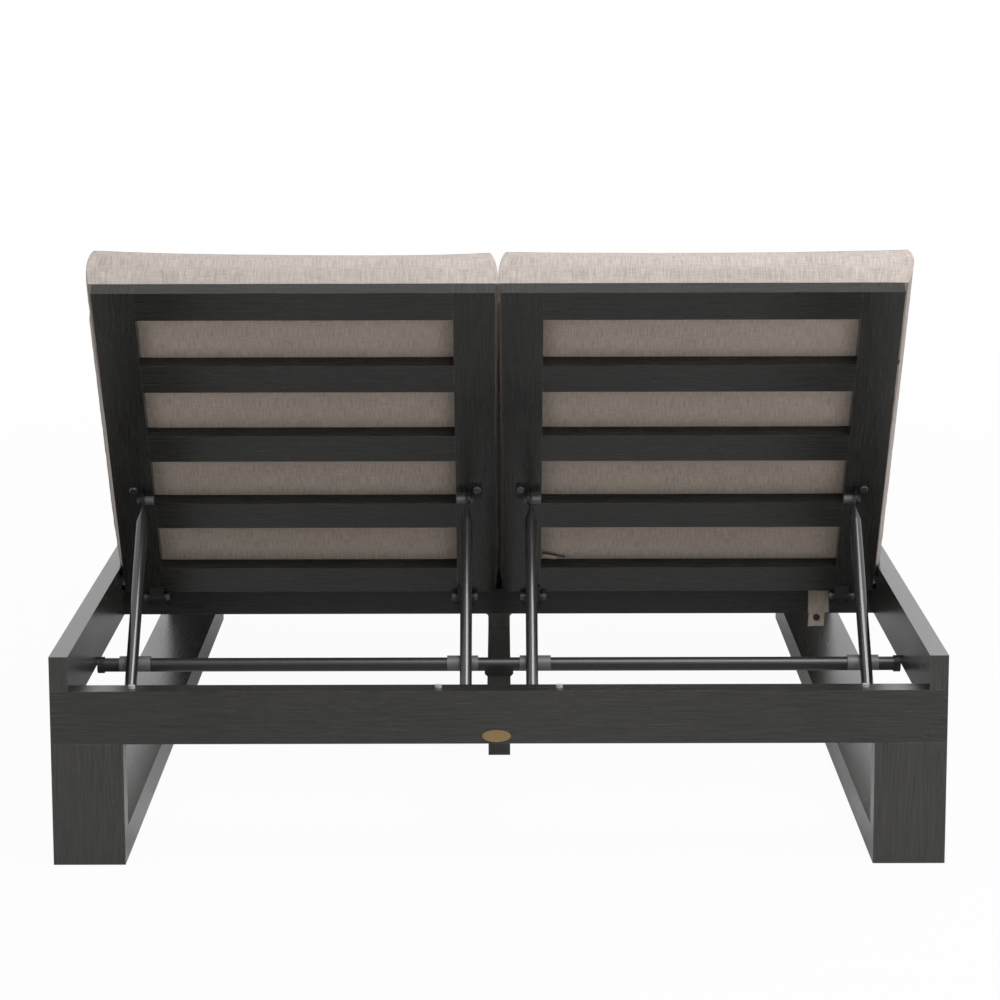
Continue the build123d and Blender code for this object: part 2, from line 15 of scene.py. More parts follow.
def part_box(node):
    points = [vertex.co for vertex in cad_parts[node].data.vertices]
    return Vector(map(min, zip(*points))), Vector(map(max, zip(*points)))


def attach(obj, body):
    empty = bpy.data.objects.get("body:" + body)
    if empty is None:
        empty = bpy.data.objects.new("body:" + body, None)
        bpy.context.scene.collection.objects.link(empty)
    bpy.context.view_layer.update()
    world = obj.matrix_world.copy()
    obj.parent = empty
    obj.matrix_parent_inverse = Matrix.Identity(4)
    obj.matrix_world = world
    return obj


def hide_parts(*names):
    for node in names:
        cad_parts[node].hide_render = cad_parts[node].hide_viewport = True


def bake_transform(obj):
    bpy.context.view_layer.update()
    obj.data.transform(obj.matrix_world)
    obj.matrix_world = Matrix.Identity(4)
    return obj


bl_info = {
    "name": "Double chaise lounger",
    "version": (1, 0, 0),
    "blender": (4, 5, 0),
    "location": "View3D > Sidebar > Lounger",
    "description": "Dresses the double chaise lounger and sets its studio",
    "category": "Object",
}

# Places taken from the frame
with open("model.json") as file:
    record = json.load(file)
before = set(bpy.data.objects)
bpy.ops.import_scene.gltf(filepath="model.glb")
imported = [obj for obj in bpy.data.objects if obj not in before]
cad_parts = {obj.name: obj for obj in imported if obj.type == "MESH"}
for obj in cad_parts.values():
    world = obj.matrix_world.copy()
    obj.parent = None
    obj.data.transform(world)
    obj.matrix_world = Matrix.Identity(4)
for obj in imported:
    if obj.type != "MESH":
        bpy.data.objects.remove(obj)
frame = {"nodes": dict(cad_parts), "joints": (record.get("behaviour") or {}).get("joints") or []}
nodes = frame["nodes"]
recline = {joint["name"]: joint for joint in frame["joints"]}["left_back_recline"]
HINGE = np.array(recline["pos_m"])
REST = math.radians(recline["range_deg"][1])
FRAME_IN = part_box("right_seat_stiles")[0].x
FRAME_OUT, SEAT_END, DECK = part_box("right_seat_stiles")[1]
SLATS_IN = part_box("right_seat_slats")[0].x
SLATS_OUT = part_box("right_seat_slats")[1].x
RAIL_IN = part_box("right_side_rail")[0].x
RAIL_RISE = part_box("right_side_rail")[1].z - DECK
SIDES = (("left", -1), ("right", 1))


def turned(points, angle):
    """Points turned about the hinges' line."""
    y, z = points[:, 1] - HINGE[1], points[:, 2] - HINGE[2]
    c, s = math.cos(angle), math.sin(angle)
    return np.stack([points[:, 0], HINGE[1] + y * c - z * s, HINGE[2] + y * s + z * c], 1)


def corners(name):
    """The points of a node's mesh."""
    return np.array([vertex.co for vertex in nodes[name].data.vertices])


flat_back = turned(corners("left_back_stiles"), REST)
BACK_LOW, BACK_HIGH = flat_back[:, 1].max(), flat_back[:, 1].min()
deck_corner = turned(np.array([[0.0, BACK_LOW, DECK]]), -REST)[0]
FOLD = deck_corner[1] - (DECK - deck_corner[2]) / math.tan(REST)
BACK_FOLD = turned(np.array([[0.0, FOLD, DECK]]), REST)[0][1]
MITRE = math.tan(REST / 2)


# Sizes and colours that a user would change


def size(name, description, default):
    return bpy.props.FloatProperty(
        name=name, description=description, default=default, subtype="DISTANCE", unit="LENGTH", precision=4
    )


def tint(name, description, default):
    return bpy.props.FloatVectorProperty(
        name=name, description=description, default=default, subtype="COLOR", size=3, min=0, max=1
    )


def amount(name, description, default):
    return bpy.props.FloatProperty(name=name, description=description, default=default, min=0)


def turn(name, description, default):
    return bpy.props.FloatProperty(
        name=name, description=description, default=math.radians(default), subtype="ANGLE", unit="ROTATION"
    )


class LOUNGER_PG_metal(bpy.types.PropertyGroup):
    """The frame's brushed finish."""

    dark: tint("Dark streaks", "Colour in the dark streaks", (0.0105, 0.0102, 0.0094))
    light: tint("Light streaks", "Colour in the light streaks", (0.035, 0.0335, 0.0305))
    worn: tint("Worn edge", "Colour where the edges are worn", (0.085, 0.084, 0.08))
    streak: size("Streak width", "Width of one broad brushed streak", 0.0021)
    fine: size("Fine streak width", "Width of one fine brushed streak", 0.0008)
    grain: size("Streak length", "Length of one brushed streak", 0.12)
    wander: size("Wander", "How far a streak wanders sideways", 0.011)
    roughness: amount("Roughness", "Roughness of the finish", 0.21)
    edge: size("Edge radius", "Rounding of the members' edges", 0.0012)
    wear: size("Wear width", "How far wear reaches from an edge", 0.0022)
    depth: size("Streak depth", "Depth of the brushed streaks", 0.00022)
    pores: size("Pore depth", "Depth of the grain in cast and moulded fittings", 0.00005)


class LOUNGER_PG_cloth(bpy.types.PropertyGroup):
    """The cushions' woven cloth."""

    base: tint("Yarn", "Light yarn colour", (0.60, 0.536, 0.495))
    shade: tint("Dark yarn", "Dark yarn colour", (0.285, 0.243, 0.214))
    pitch: size("Yarn pitch", "Distance between yarns", 0.0013)
    slub: size("Slub width", "Width of one thick or thin place in the yarns", 0.0022)
    # Painted shade: the underside's tint stands in for the warmer, darker light under a cushion
    under: tint("Underside", "Tint of the underside against the rest", (1.0, 0.95, 0.88))
    seam: size("Seam width", "Width of the dark line along a seam", 0.0011)
    pucker: size("Pucker reach", "How far the puckers reach from a seam", 0.016)
    zip_half: size("Zip cover", "Half the width of the zip's cover", 0.0045)
    thread: size("Thread", "Half the width of a stitched line", 0.0006)
    relief: size("Relief", "Depth of the weave, the slubs and the puckers", 0.0006)
    roughness: amount("Roughness", "Roughness of the cloth", 0.92)
    sheen: amount("Sheen", "Sheen of the cloth", 0.12)


class LOUNGER_PG_cushion(bpy.types.PropertyGroup):
    """The cushions' form."""

    height: size("Height", "Height at the seams", 0.066)
    crown: size("Crown", "Rise in the middle before it is blown up", 0.004)
    bulge: size("Bulge", "How far the boxing stands out between its seams", 0.0075)
    sag: size("Sag", "How far the cloth sinks between two slats", 0.006)
    corner: size("Corner", "Radius of the free end's corners", 0.003)
    mesh: size("Mesh size", "Side of one face of the cloth", 0.012)
    seam: size("Seam strip", "Width of the first strip of faces along a seam", 0.003)
    pressure: amount("Pressure", "Pressure that blows the cloth up", 0.17)
    cap: size("Cap", "How far the cloth may move", 0.011)
    bend: size("Bend", "Half the stretch of cushion that bends with the recline", 0.05)
    zip_height: size("Zip height", "Height of the zip in the outer side", 0.024)


class LOUNGER_PG_stage(bpy.types.PropertyGroup):
    """The camera and the studio."""

    place: bpy.props.FloatVectorProperty(
        name="Camera", description="Camera position", subtype="TRANSLATION", size=3,
        default=(0.0059, -6.3715, 1.5835),
    )
    pitch: turn("Pitch", "How far the camera looks down", 10.04)
    yaw: turn("Yaw", "How far the camera turns right", -0.033)
    roll: turn("Roll", "Turn about the line of sight", -0.129)
    lens: amount("Lens", "Focal length in millimetres", 117.1)
    key: amount("Key light", "Power of the overhead light in watts", 144.0)
    strip: amount("Strip light", "Power of the narrow overhead light in watts", 26.0)
    fill: amount("Fill light", "Power of one side light in watts", 24.0)
    air: amount("World", "Strength of the even light", 0.32)
    floor: size("Floor", "Side of the floor", 80.0)


# Materials


class Graph:
    """Short calls for building the nodes of a material or of the world."""

    def __init__(self, owner, shader="Principled BSDF"):
        owner.use_nodes = True
        self.owner = owner
        self.tree = owner.node_tree
        self.shader = self.tree.nodes[shader]

    def node(self, kind, inputs=(), **settings):
        made = self.tree.nodes.new(kind)
        for key, value in settings.items():
            setattr(made, key, value)
        for key, value in dict(inputs).items():
            self.feed(made.inputs[key], value)
        return made

    def feed(self, socket, value):
        if isinstance(value, bpy.types.NodeSocket):
            self.tree.links.new(value, socket)
        elif socket.type == "RGBA" and len(value) == 3:
            socket.default_value = (*value, 1)
        else:
            socket.default_value = value

    def set(self, **values):
        """Sets the shader's sockets, whose names are given with low lines for spaces."""
        for key, value in values.items():
            self.feed(self.shader.inputs[key.replace("_", " ")], value)

    def math(self, operation, *values):
        made = self.node("ShaderNodeMath", dict(enumerate(values)), operation=operation)
        return made.outputs[0]

    def add(self, *terms):
        """The sum of values, each times its weight."""
        total = 0.0
        for value, weight in terms:
            total = self.math("MULTIPLY_ADD", value, weight, total)
        return total

    def vector(self, operation, *values):
        made = self.node("ShaderNodeVectorMath", dict(enumerate(values)), operation=operation)
        return made.outputs["Value" if operation == "DOT_PRODUCT" else 0]

    def split(self, vector):
        made = self.node("ShaderNodeSeparateXYZ", {0: vector})
        return made.outputs[0], made.outputs[1], made.outputs[2]

    def join(self, x, y, z):
        return self.node("ShaderNodeCombineXYZ", {0: x, 1: y, 2: z}).outputs[0]

    def point(self, tilt=0.0):
        """Object coordinates and normal, turned so that a raised back's own length runs along Y."""
        where = self.node("ShaderNodeTexCoord")
        out = []
        for name in ("Object", "Normal"):
            inputs = {"Vector": where.outputs[name], "Rotation": (tilt, 0, 0)}
            out.append(self.node("ShaderNodeMapping", inputs, vector_type="POINT").outputs[0])
        return out

    def attribute(self, name, output):
        return self.node("ShaderNodeAttribute", attribute_name=name).outputs[output]

    def noise(self, vector, scale, detail=3.0, roughness=0.5, output="Fac"):
        inputs = {"Vector": vector, "Scale": scale, "Detail": detail, "Roughness": roughness}
        return self.node("ShaderNodeTexNoise", inputs).outputs[output]

    def remap(self, value, low, high, start=0.0, end=1.0):
        inputs = {"Value": value, "From Min": low, "From Max": high, "To Min": start, "To Max": end}
        return self.node("ShaderNodeMapRange", inputs).outputs[0]

    def mix(self, factor, a, b):
        made = self.node("ShaderNodeMix", {0: factor, 2: a, 3: b}, data_type="FLOAT")
        return made.outputs[0]

    def blend(self, factor, a, b):
        made = self.node("ShaderNodeMix", {0: factor, 6: a, 7: b}, data_type="RGBA")
        return made.outputs[2]

    def bump(self, height, distance, strength):
        inputs = {"Height": height, "Distance": distance, "Strength": strength}
        self.set(Normal=self.node("ShaderNodeBump", inputs).outputs[0])


def brushed(name, axis, tilt=0.0, gain=1.0):
    """Brushed charcoal aluminium: wandering streaks along one axis, and along Z or X on the end faces."""
    look = bpy.context.scene.lounger_metal
    drift_scale, cloud_scale = 8.0, 3.0
    end_facing = 0.6
    broad_share, fine_share, cloud_share = 0.6, 0.4, 0.22
    tone_low, tone_high = 0.44, 0.78
    wear_low, wear_high = 0.42, 0.60
    rounded, unrounded = 0.86, 0.995
    streak_gloss, cloud_gloss = 0.14, 0.08
    g = Graph(bpy.data.materials.new(name))
    where, normal = g.point(tilt)
    drift = g.vector("SUBTRACT", g.noise(where, drift_scale, detail=1.0, output="Color"), (0.5,) * 3)
    moved = g.vector("MULTIPLY_ADD", drift, (look.wander,) * 3, where)
    end_face = g.math("GREATER_THAN", g.math("ABSOLUTE", g.split(normal)[axis]), end_facing)
    fields = []
    for way in (axis, 2 if axis != 2 else 0):
        layers = []
        for width, length in ((look.streak, look.grain), (look.fine, look.grain / 2)):
            factors = [1 / width] * 3
            factors[way] = 1 / length
            layers.append(g.noise(g.vector("MULTIPLY", moved, factors), 1.0, detail=2.0, roughness=0.6))
        fields.append(g.add((layers[0], broad_share), (layers[1], fine_share)))
    streaks = g.mix(end_face, *fields)
    cloud = g.noise(where, cloud_scale, detail=2.0)
    tone = g.remap(g.add((streaks, 1.0), (cloud, cloud_share)), tone_low, tone_high)
    soft = g.node("ShaderNodeBevel", {"Radius": look.wear}, samples=4).outputs[0]
    facing = g.vector("DOT_PRODUCT", soft, g.node("ShaderNodeNewGeometry").outputs["Normal"])
    wear = g.math("MULTIPLY", g.remap(facing, unrounded, rounded), g.remap(streaks, wear_low, wear_high))
    # gain scales the colours and the gloss: below 1 it is painted shade, above 1 painted light
    dark, light, worn = (tuple(c * gain for c in colour) for colour in (look.dark, look.light, look.worn))
    mean_gloss = look.roughness - streak_gloss / 2
    g.set(
        Base_Color=g.blend(wear, g.blend(tone, dark, light), worn),
        Roughness=g.add((streaks, streak_gloss), (cloud, cloud_gloss), (1.0, mean_gloss)),
        Specular_IOR_Level=gain / 2,
    )
    g.bump(streaks, look.depth, 0.5)
    return g.owner


def moulded(name, colour, roughness=0.5, metallic=0.0, grain=600.0, spread=0.25, specular=0.5):
    """Cast, machined or moulded finish: fine grain in the colour, the roughness and the surface."""
    coarser = 30
    fine_share, coarse_share = 0.6, 0.4
    gloss_spread = 0.2
    g = Graph(bpy.data.materials.new(name))
    where, _ = g.point()
    fine = g.noise(where, grain, roughness=0.6)
    both = g.add((fine, fine_share), (g.noise(where, grain / coarser, detail=2.0), coarse_share))
    dark = tuple(c * (1 - spread) for c in colour)
    light = tuple(min(1.0, c * (1 + spread)) for c in colour)
    g.set(
        Base_Color=g.blend(g.remap(both, 0.3, 0.7), dark, light),
        Roughness=g.add((both, gloss_spread), (1.0, roughness - gloss_spread / 2)),
        Metallic=metallic,
        Specular_IOR_Level=specular,
    )
    g.bump(fine, bpy.context.scene.lounger_metal.pores, 0.6)
    return g.owner


def woven(name, gain=1.0, zip_height=0.0, stitch=0.0):
    """Linen-look cloth: crossing yarns with slubs, darker and puckered along the seams."""
    look = bpy.context.scene.lounger_cloth
    slub_stretch, weft_squeeze = 13, 1.3
    warp_share, weft_share, weave_share, cloud_share = 0.80, 0.50, 0.16, 0.10
    tone_low, tone_high = 0.52, 1.0
    line_share, stitch_share, seam_gain = 0.8, 0.5, 0.45
    cloud_scale, pucker_scale = 14.0, 95.0
    underside_shade_from, underside_shade_to = 0.003, 0.001
    line_soft, cover_soft = 0.4, 1.8
    weave_rise, slub_rise, pucker_rise, line_rise = 0.35, 0.7, 3.0, -1.5
    g = Graph(bpy.data.materials.new(name))
    cloth = g.attribute("cloth", "Vector")
    panel = g.attribute("panel", "Fac")
    gap = g.attribute("seam_gap", "Fac")
    x, y, z = g.split(cloth)
    # Panel 1 is a side's boxing and panel 2 an end's, so that the yarns run along each of them
    across = g.mix(g.math("COMPARE", panel, 1.0, 0.4), x, z)
    along = g.mix(g.math("COMPARE", panel, 2.0, 0.4), y, z)
    warp = g.math("SINE", g.math("MULTIPLY", across, math.pi / look.pitch))
    weft = g.math("SINE", g.math("MULTIPLY", along, math.pi / look.pitch))
    over = g.math("GREATER_THAN", g.math("MULTIPLY", warp, weft), 0.0)
    weave = g.mix(over, g.math("ABSOLUTE", weft), g.math("ABSOLUTE", warp))
    flat = g.join(across, along, 0.0)
    narrow, long = 1 / look.slub, 1 / (slub_stretch * look.slub)
    warp_slub, weft_slub = (
        g.noise(g.vector("MULTIPLY", flat, factors), 1.0, roughness=0.65)
        for factors in ((narrow, long, 1), (long, narrow * weft_squeeze, 1))
    )
    cloud = g.noise(cloth, cloud_scale, detail=2.0)
    parts = (warp_slub, weft_slub, weave, cloud)
    tone = g.add(*zip(parts, (warp_share, weft_share, weave_share, cloud_share)))
    line = g.remap(gap, look.seam, look.seam * line_soft)
    near = g.math("POWER", g.remap(gap, look.pucker, 0.0), 2.0)
    pucker = g.math("MULTIPLY", g.noise(cloth, pucker_scale, detail=1.0), near)
    if zip_height:
        # The zip's cover: a line along each of its edges, on the outer side
        outer = g.attribute("zipped", "Fac")
        off = g.math("ABSOLUTE", g.math("SUBTRACT", z, zip_height))
        off = g.math("ABSOLUTE", g.math("SUBTRACT", off, look.zip_half))
        edges = g.remap(off, look.seam * cover_soft, look.seam)
        line = g.math("MAXIMUM", line, g.math("MULTIPLY", outer, edges))
    if stitch:
        # A row of stitches, as far from the edge as each stitch is long
        off = g.math("ABSOLUTE", g.math("SUBTRACT", gap, stitch))
        dash = g.math("SINE", g.math("MULTIPLY", g.math("ADD", x, y), 2 * math.pi / stitch))
        thread = g.remap(off, look.thread, look.thread / 2)
        row = g.math("MULTIPLY", g.remap(dash, -0.5, -0.2), thread)
        line = g.math("MAXIMUM", line, g.math("MULTIPLY", row, stitch_share))
    shade = tuple(c * gain for c in look.shade)
    light = tuple(c * gain for c in look.base)
    seam = tuple(c * seam_gain for c in shade)
    yarn = g.blend(g.remap(tone, tone_low, tone_high), shade, light)
    # Painted shade: near its bottom, the underside's cloth is tinted warmer and darker than the rest
    low = g.math("MULTIPLY", g.remap(z, underside_shade_from, underside_shade_to), g.math("LESS_THAN", panel, 0.5))
    inputs = {0: low, 6: yarn, 7: look.under}
    shade_tinted_yarn = g.node("ShaderNodeMix", inputs, data_type="RGBA", blend_type="MULTIPLY").outputs[2]
    g.set(
        Base_Color=g.blend(g.math("MULTIPLY", line, line_share), shade_tinted_yarn, seam),
        Roughness=look.roughness,
        Sheen_Weight=look.sheen,
        Sheen_Roughness=0.5,
        Specular_IOR_Level=0.2,
    )
    rise = g.add((weave, weave_rise), (warp_slub, slub_rise), (pucker, pucker_rise), (line, line_rise))
    g.bump(rise, look.relief, 0.7)
    return g.owner


def paint(material, *names):
    """Gives CAD nodes a material in all their slots."""
    for name in names:
        mesh = nodes[name].data
        for number in range(len(mesh.materials)):
            mesh.materials[number] = material


def soften(width, *names):
    """Shades the curves of CAD nodes smooth, and rounds their edges."""
    sharpest_curve, flattest_edge = math.radians(32), math.radians(40)
    for name in names:
        obj = nodes[name]
        obj.data.polygons.foreach_set("use_smooth", [True] * len(obj.data.polygons))
        obj.data.set_sharp_from_angle(angle=sharpest_curve)
        if width:
            bevel = obj.modifiers.new("edges", "BEVEL")
            bevel.width = width
            bevel.segments = 2
            bevel.limit_method = "ANGLE"
            bevel.angle_limit = flattest_edge


# Cloth pieces

TINY = 1e-6
# The form before it is blown up
END_REACH = 0.06  # stretch at the free end over which a cushion hangs over
MITRE_REACH = 0.14  # stretch at the fold end over which it is mitred
FOOT_BACK = 0.001  # how far the lower seam stays behind the frame's end
FOLD_DRAW = 0.002  # how far the fold end stays behind the fold line
LATE_FROM = 0.4  # share of its length from which the sides change towards the free end's form
INNER_FREE = (0.008, -0.006, 0.004)  # foot, top and belly of the inner side at the free end
INNER_ALONG = (0.001, 0.0, 0.010)  # the same along the rest
# How it is blown up
CREASE_SPREAD = 0.00025  # uneven start, from which small creases grow
STEPS_RUN = 20
SEAT_SEED, BACK_SEED = 12, 22
SEAM_MOVE = 0.3  # share of the moves that a seam keeps
FREE_MOVE = 0.03  # distance from a seam at which all of them is kept
SEAM_CREASE, CORNER_CREASE = 0.85, 0.6
# How it is fitted into its space
LIFT = 0.0003  # underside above the slats
CLEAR = 0.0006  # the rest above the slats, and the fold end before the other cushion
SINK_REACH = 0.03  # stretch beside a stile over which the underside sinks
RAIL_GAP = 0.0008  # least gap to a side rail
SPILL = 1.2  # how far it may stand out over the rail, for each unit of height above it
SQUEEZE_FROM, SQUEEZE = 0.005, 0.009  # from what height and how far a back cushion may press outwards
MEET_SLANT, MEET_GAP = 0.0010, 0.0001  # slant of the face on which two cushions meet, and half their gap


def smooth(value):
    """Eases from 0 to 1, and stays there past both ends."""
    value = np.clip(value, 0.0, 1.0)
    return value * value * (3 - 2 * value)


def made(name, points, faces, material):
    """A new mesh object with smooth faces and one material."""
    mesh = bpy.data.meshes.new(name)
    mesh.from_pydata([tuple(p) for p in points], [], [tuple(f) for f in faces])
    mesh.update()
    mesh.polygons.foreach_set("use_smooth", [True] * len(mesh.polygons))
    mesh.materials.append(material)
    obj = bpy.data.objects.new(name, mesh)
    bpy.context.scene.collection.objects.link(obj)
    return obj


def mark(obj, name, kind, domain, values):
    """Stores a named value on each point, edge or face."""
    attribute = obj.data.attributes.new(name, kind, domain)
    field = "vector" if kind == "FLOAT_VECTOR" else "value"
    attribute.data.foreach_set(field, np.asarray(values, np.float32).ravel())


def lines(length, step, first):
    """Places of mesh lines from 0 to a length: one close to each end, the rest evenly spaced."""
    inner = np.linspace(first, length - first, round((length - 2 * first) / step) + 1)
    return np.concatenate([[0.0], inner, [length]])


def sewn_box(across, along, up):
    """A box of cloth as a grid: the rest place of each point, the faces and each face's panel."""
    nu, nv, nw = len(across) - 1, len(along) - 1, len(up) - 1
    index, rest, faces, panels = {}, [], [], []

    def at(i, j, k):
        if (i, j, k) not in index:
            index[i, j, k] = len(rest)
            rest.append((across[i], along[j], up[k]))
        return index[i, j, k]

    def face(panel, *places):
        faces.append([at(*place) for place in places])
        panels.append(panel)

    for i in range(nu):
        for j in range(nv):
            face(0, (i, j, nw), (i + 1, j, nw), (i + 1, j + 1, nw), (i, j + 1, nw))
            face(0, (i, j, 0), (i, j + 1, 0), (i + 1, j + 1, 0), (i + 1, j, 0))
    for k in range(nw):
        for i in range(nu):
            face(2, (i, 0, k), (i + 1, 0, k), (i + 1, 0, k + 1), (i, 0, k + 1))
            face(2, (i, nv, k), (i, nv, k + 1), (i + 1, nv, k + 1), (i + 1, nv, k))
        for j in range(nv):
            face(1, (0, j, k), (0, j, k + 1), (0, j + 1, k + 1), (0, j + 1, k))
            face(1, (nu, j, k), (nu, j + 1, k), (nu, j + 1, k + 1), (nu, j, k + 1))
    return np.array(rest), faces, np.array(panels)


def slat_gaps(points):
    """The open stretches between slats, as Y from and to, of a slatted frame that lies flat."""
    top = points[np.abs(points[:, 2] - DECK) < 1e-4]
    edges = sorted(set(np.round(top[:, 1], 4)))
    return list(zip(edges[1:-1:2], edges[2:-1:2]))


def shaped(rest, half, length, look, side, hang, spread):
    """The sewn box hung over, drawn in, bulged, crowned and mitred: the form that the cloth starts from.

    hang is how far the free end's upper seam stands past the frame at the inner corner, at the outer corner
    and between them. spread is how far the outer side's foot, top and belly stand out, at the free end and
    along the rest.
    """
    x, v, w = rest.T
    u, t, k = x / half, v / length, w / look.height
    band = np.sin(np.pi * k**1.2) ** 0.9
    near = smooth((v - length + END_REACH) / END_REACH)
    # The free end's corners are round in plan
    du = np.clip((np.abs(x) - half + look.corner) / look.corner, 0, 1)
    dv = np.clip((v - length + look.corner) / look.corner, 0, 1)
    x = np.sign(x) * (np.minimum(np.abs(x), half - look.corner) + look.corner * du * np.sqrt(1 - dv**2 / 2))
    v = np.minimum(v, length - look.corner) + look.corner * dv * np.sqrt(1 - du**2 / 2)
    # Free end: the upper seam hangs over and draws in between the corners, and the boxing bulges
    inner, outer, between = hang
    line = inner + (outer - inner) * (1 + side * u) / 2
    upper = line - ((inner + outer) / 2 - between) * (1 - np.abs(u) ** 3)
    v = v + near * (k * upper - FOOT_BACK * (1 - k) + look.bulge * band)
    # Sides: flush along the frame, and each in its own way near the free end

    def out(foot, top, belly):
        return foot * (1 - k) + top * k + belly * band

    late = smooth((t - LATE_FROM) / (1 - LATE_FROM))
    free = np.where(side * u > 0, out(*spread[0]), out(*INNER_FREE))
    flush = np.where(side * u > 0, out(*spread[1]), out(*INNER_ALONG))
    x = x + np.sign(u) * np.abs(u) ** 8 * (flush + late * (free - flush))
    w = w + look.crown * (1 - u**4) * (1 - np.abs(2 * t - 1) ** 8) * k
    # The fold end is mitred at half the angle between seat and back
    v = v + np.clip(1 - v / MITRE_REACH, 0, 1) ** 1.5 * (w * MITRE + FOLD_DRAW)
    return np.stack([x, v, w], 1)


def blown_up(start, faces, held, seam, look, seed):
    """Runs cloth on a closed form whose underside is held and whose seams shrink. Returns its points."""
    rng = np.random.default_rng(seed)
    obj = made("blown_up", start + rng.normal(0, CREASE_SPREAD, start.shape), faces, None)
    for name, chosen in (("held", held), ("seam", seam)):
        group = obj.vertex_groups.new(name=name)
        group.add([int(n) for n in np.nonzero(chosen)[0]], 1.0, "REPLACE")
    cloth = obj.modifiers.new("Cloth", "CLOTH")
    settings = cloth.settings
    settings.quality = 5
    settings.mass = 0.3
    settings.tension_stiffness = settings.compression_stiffness = 18
    settings.shear_stiffness = 8
    settings.bending_stiffness = 0.4
    settings.vertex_group_mass = "held"
    settings.use_pressure = True
    settings.uniform_pressure_force = look.pressure
    settings.effector_weights.gravity = 0.0
    settings.vertex_group_shrink = "seam"
    settings.shrink_min = -0.01
    settings.shrink_max = 0.012
    cloth.collision_settings.use_collision = False
    cloth.collision_settings.use_self_collision = False
    for number in range(1, STEPS_RUN + 1):
        bpy.context.scene.frame_set(number)
    done = obj.evaluated_get(bpy.context.evaluated_depsgraph_get()).data
    end = np.zeros(start.size, np.float32)
    done.vertices.foreach_get("co", end)
    mesh = obj.data
    bpy.data.objects.remove(obj)
    bpy.data.meshes.remove(mesh)
    bpy.context.scene.frame_set(1)
    return end.reshape(-1, 3).astype(float)


def fitted(end, rest, look, side, middle, slats, back):
    """Keeps a cushion in its space, which it is drawn in lying flat: on its slats and clear of the rest."""
    w = rest[:, 2]
    # The underside lies on the slats and sinks a little between them
    points = turned(corners(slats), REST) if back else corners(slats)
    place = BACK_FOLD - end[:, 1] if back else FOLD + end[:, 1]
    sunk = np.zeros(len(end))
    for low, high in slat_gaps(points):
        sunk += np.sin(np.pi * np.clip((place - low) / (high - low), 0, 1)) ** 0.7
    across_gap = np.abs(end[:, 0] + middle)
    sunk *= smooth((across_gap - SLATS_IN) / SINK_REACH) * smooth((SLATS_OUT - across_gap) / SINK_REACH)
    end[:, 2] = np.where(w == 0, LIFT - look.sag * sunk, np.maximum(end[:, 2], CLEAR))
    # The cushion stays clear of the side rails, of its neighbour and of the other cushion at the fold
    outwards = side * (end[:, 0] + middle)
    beside = RAIL_IN - RAIL_GAP
    allowed = beside + SPILL * np.maximum(end[:, 2] - RAIL_RISE, 0)
    if back:
        allowed = np.maximum(allowed, beside + np.clip(end[:, 2] - SQUEEZE_FROM, 0, SQUEEZE))
    # The two cushions meet along a slanting face, so that no light shows between them
    meeting = side * MEET_SLANT * np.cos(np.pi * w / look.height) + MEET_GAP
    end[:, 0] = side * np.clip(outwards, meeting, allowed) - middle
    end[:, 1] = np.maximum(end[:, 1], np.maximum(end[:, 2], 0) * MITRE + CLEAR)
    return end


def cushion(name, side, length, look, back, hang, spread, material, seed):
    """One sewn cushion: blown up as cloth, kept in its space and set in place."""
    side_name = name.split("_")[0]
    half = (FRAME_OUT - FRAME_IN) / 2
    middle = side * (FRAME_OUT + FRAME_IN) / 2
    across, along, up = (lines(span, look.mesh, look.seam) for span in (2 * half, length, look.height))
    rest, faces, panels = sewn_box(across - half, along, up)
    x, v, w = rest.T
    under, over = w == 0, w == look.height
    edge = np.minimum(half - np.abs(x), np.minimum(v, length - v))
    gap = np.where(under | over, edge, np.minimum(w, look.height - w))
    seam = gap < TINY
    start = shaped(rest, half, length, look, side, hang, spread)
    move = np.zeros_like(start)
    move = blown_up(start, faces, under, seam, look, seed) - start
    reach = np.linalg.norm(move, axis=1, keepdims=True)
    move *= np.minimum(1.0, look.cap / np.maximum(reach, TINY))
    move *= SEAM_MOVE + (1 - SEAM_MOVE) * smooth(gap / FREE_MOVE)[:, None]
    slats = f"{side_name}_{'back' if back else 'seat'}_slats"
    end = fitted(start + move, rest, look, side, middle, slats, back)
    placed = end + (middle, 0, DECK)
    if back:
        placed[:, 1] = BACK_FOLD - end[:, 1]
        placed = turned(placed, -REST)
        faces = [face[::-1] for face in faces]
    else:
        placed[:, 1] = FOLD + end[:, 1]
    obj = made(name, placed, faces, material)
    outer_faces = [side * np.mean([x[n] for n in face]) > half - TINY for face in faces]
    mark(obj, "cloth", "FLOAT_VECTOR", "POINT", rest)
    mark(obj, "seam_gap", "FLOAT", "POINT", gap)
    mark(obj, "panel", "FLOAT", "FACE", panels)
    mark(obj, "zipped", "FLOAT", "FACE", outer_faces)
    # Seams stay crisp, and the corners' upright edges a little less so
    ends = np.zeros(2 * len(obj.data.edges), np.int32)
    obj.data.edges.foreach_get("vertices", ends)
    upright = (np.abs(np.abs(x) - half) < TINY) & ((v < TINY) | (v > length - TINY))
    on_seam, on_corner = (chosen[ends].reshape(-1, 2).all(axis=1) for chosen in (seam, upright))
    mark(obj, "crease_edge", "FLOAT", "EDGE", np.where(on_seam, SEAM_CREASE, CORNER_CREASE * on_corner))
    subdivide = obj.modifiers.new("smooth", "SUBSURF")
    subdivide.levels = subdivide.render_levels = 1
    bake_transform(obj)
    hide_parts(name.replace("pad", "cushion"))
    return obj


